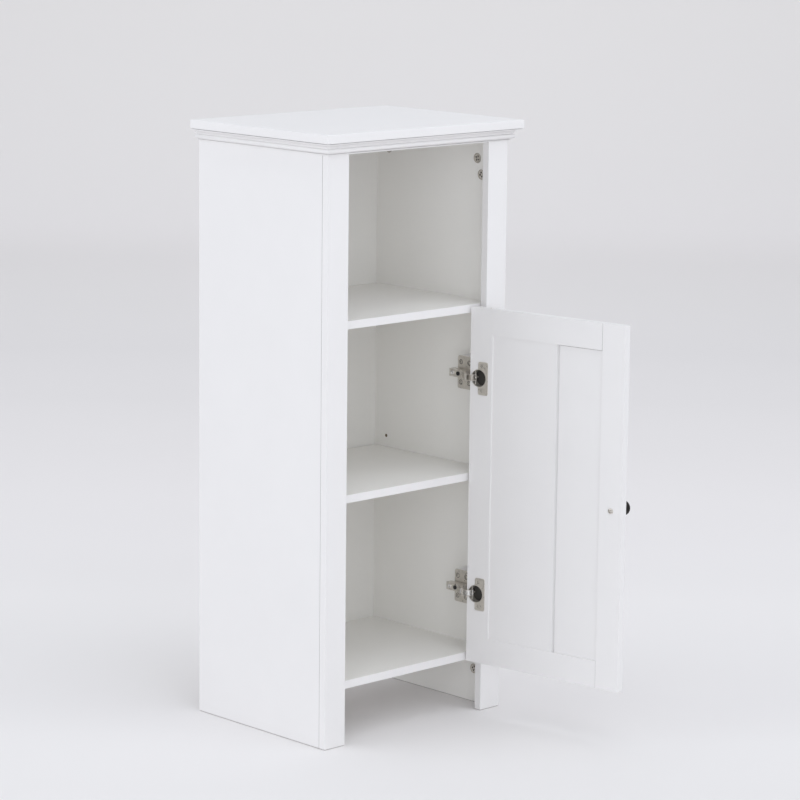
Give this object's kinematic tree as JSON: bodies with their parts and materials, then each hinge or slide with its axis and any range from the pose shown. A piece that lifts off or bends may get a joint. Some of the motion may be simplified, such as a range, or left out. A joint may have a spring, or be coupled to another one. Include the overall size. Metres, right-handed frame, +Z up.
{
  "type": "bathroom cabinet",
  "caption": "Narrow white painted cabinet on plain side legs: open top compartment, hinged panel door below, clear space under the bottom board, moulded crown under a flat top.",
  "frame": {"origin": "middle of the footprint of the cabinet with its door standing open, on the floor", "axes": "+X to the viewer's right facing the front, +Y to the back, +Z up; the front faces -Y"},
  "size_m": [0.394, 0.548, 0.9],
  "materials": {
    "white_paint": "satin white paint on fibreboard",
    "white_back": "white painted thin board",
    "bare_birch": "bare wood",
    "nickel_steel": "nickel plated pressed steel",
    "zinc_fitting": "zinc plated",
    "dark_screw": "black plated",
    "dark_knob": "dark bronze"
  },
  "bodies": {
    "cabinet": {"top_slab": "white_paint", "crown_front": "white_paint", "crown_left": "white_paint", "crown_right": "white_paint", "crown_back_rail": "white_paint", "left_side_panel": "white_paint", "right_side_panel": "white_paint", "left_stile": "white_paint", "right_stile": "white_paint", "upper_shelf": "white_paint", "middle_shelf": "white_paint", "bottom_board": "white_paint", "back_panel": "white_back", "side_cams": "zinc_fitting", "crown_cam_bolts": "zinc_fitting", "stile_cam_bolts": "zinc_fitting", "shelf_cams": "zinc_fitting", "shelf_cam_bolts": "zinc_fitting", "shelf_dowels": "bare_birch", "shelf_pins": "zinc_fitting", "upper_hinge_block": "white_paint", "lower_hinge_block": "white_paint", "upper_mounting_plate": "nickel_steel", "lower_mounting_plate": "nickel_steel", "plate_screws": "nickel_steel", "upper_hinge_arm": "nickel_steel", "lower_hinge_arm": "nickel_steel", "arm_screws": "dark_screw", "arm_pins": "nickel_steel"},
    "door": {"door_hinge_stile": "white_paint", "door_free_stile": "white_paint", "door_top_rail": "white_paint", "door_bottom_rail": "white_paint", "door_panel_wide": "white_paint", "door_panel_narrow": "white_paint", "upper_hinge_cup": "nickel_steel", "lower_hinge_cup": "nickel_steel", "cup_screws": "nickel_steel", "cup_pins": "nickel_steel", "knob": "dark_knob", "knob_screw": "nickel_steel"},
    "upper_outer_link_body": {"upper_outer_link": "nickel_steel"},
    "upper_inner_link_body": {"upper_inner_link": "nickel_steel"},
    "lower_outer_link_body": {"lower_outer_link": "nickel_steel"},
    "lower_inner_link_body": {"lower_inner_link": "nickel_steel"}
  },
  "joints": [
    {"name": "upper_outer_link_swing", "type": "hinge", "parent": "cabinet", "child": "upper_outer_link_body", "pos_m": [0.1182, 0.01331, 0.5178], "axis": [0, 0, 1], "range_deg": [-0.61, 27.63]},
    {"name": "upper_inner_link_swing", "type": "hinge", "parent": "cabinet", "child": "upper_inner_link_body", "pos_m": [0.1146, 0.00779, 0.5178], "axis": [0, 0, 1], "range_deg": [-0.92, 42.8]},
    {"name": "lower_outer_link_swing", "type": "hinge", "parent": "cabinet", "child": "lower_outer_link_body", "pos_m": [0.1182, 0.01331, 0.1875], "axis": [0, 0, 1], "range_deg": [-0.61, 27.63]},
    {"name": "lower_inner_link_swing", "type": "hinge", "parent": "cabinet", "child": "lower_inner_link_body", "pos_m": [0.1146, 0.00779, 0.1875], "axis": [0, 0, 1], "range_deg": [-0.92, 42.8]},
    {"name": "door_swing", "type": "hinge", "parent": "upper_outer_link_body", "child": "door", "pos_m": [0.12369, -0.00536, 0.5178], "axis": [0, 0, 1], "range_deg": [-125.58, 2.56]}
  ],
  "couplings": [
    {"joint": "upper_outer_link_swing", "follows": "door_swing", "ratio": -0.2196},
    {"joint": "upper_inner_link_swing", "follows": "door_swing", "ratio": -0.3404},
    {"joint": "lower_outer_link_swing", "follows": "door_swing", "ratio": -0.2196},
    {"joint": "lower_inner_link_swing", "follows": "door_swing", "ratio": -0.3404}
  ]
}
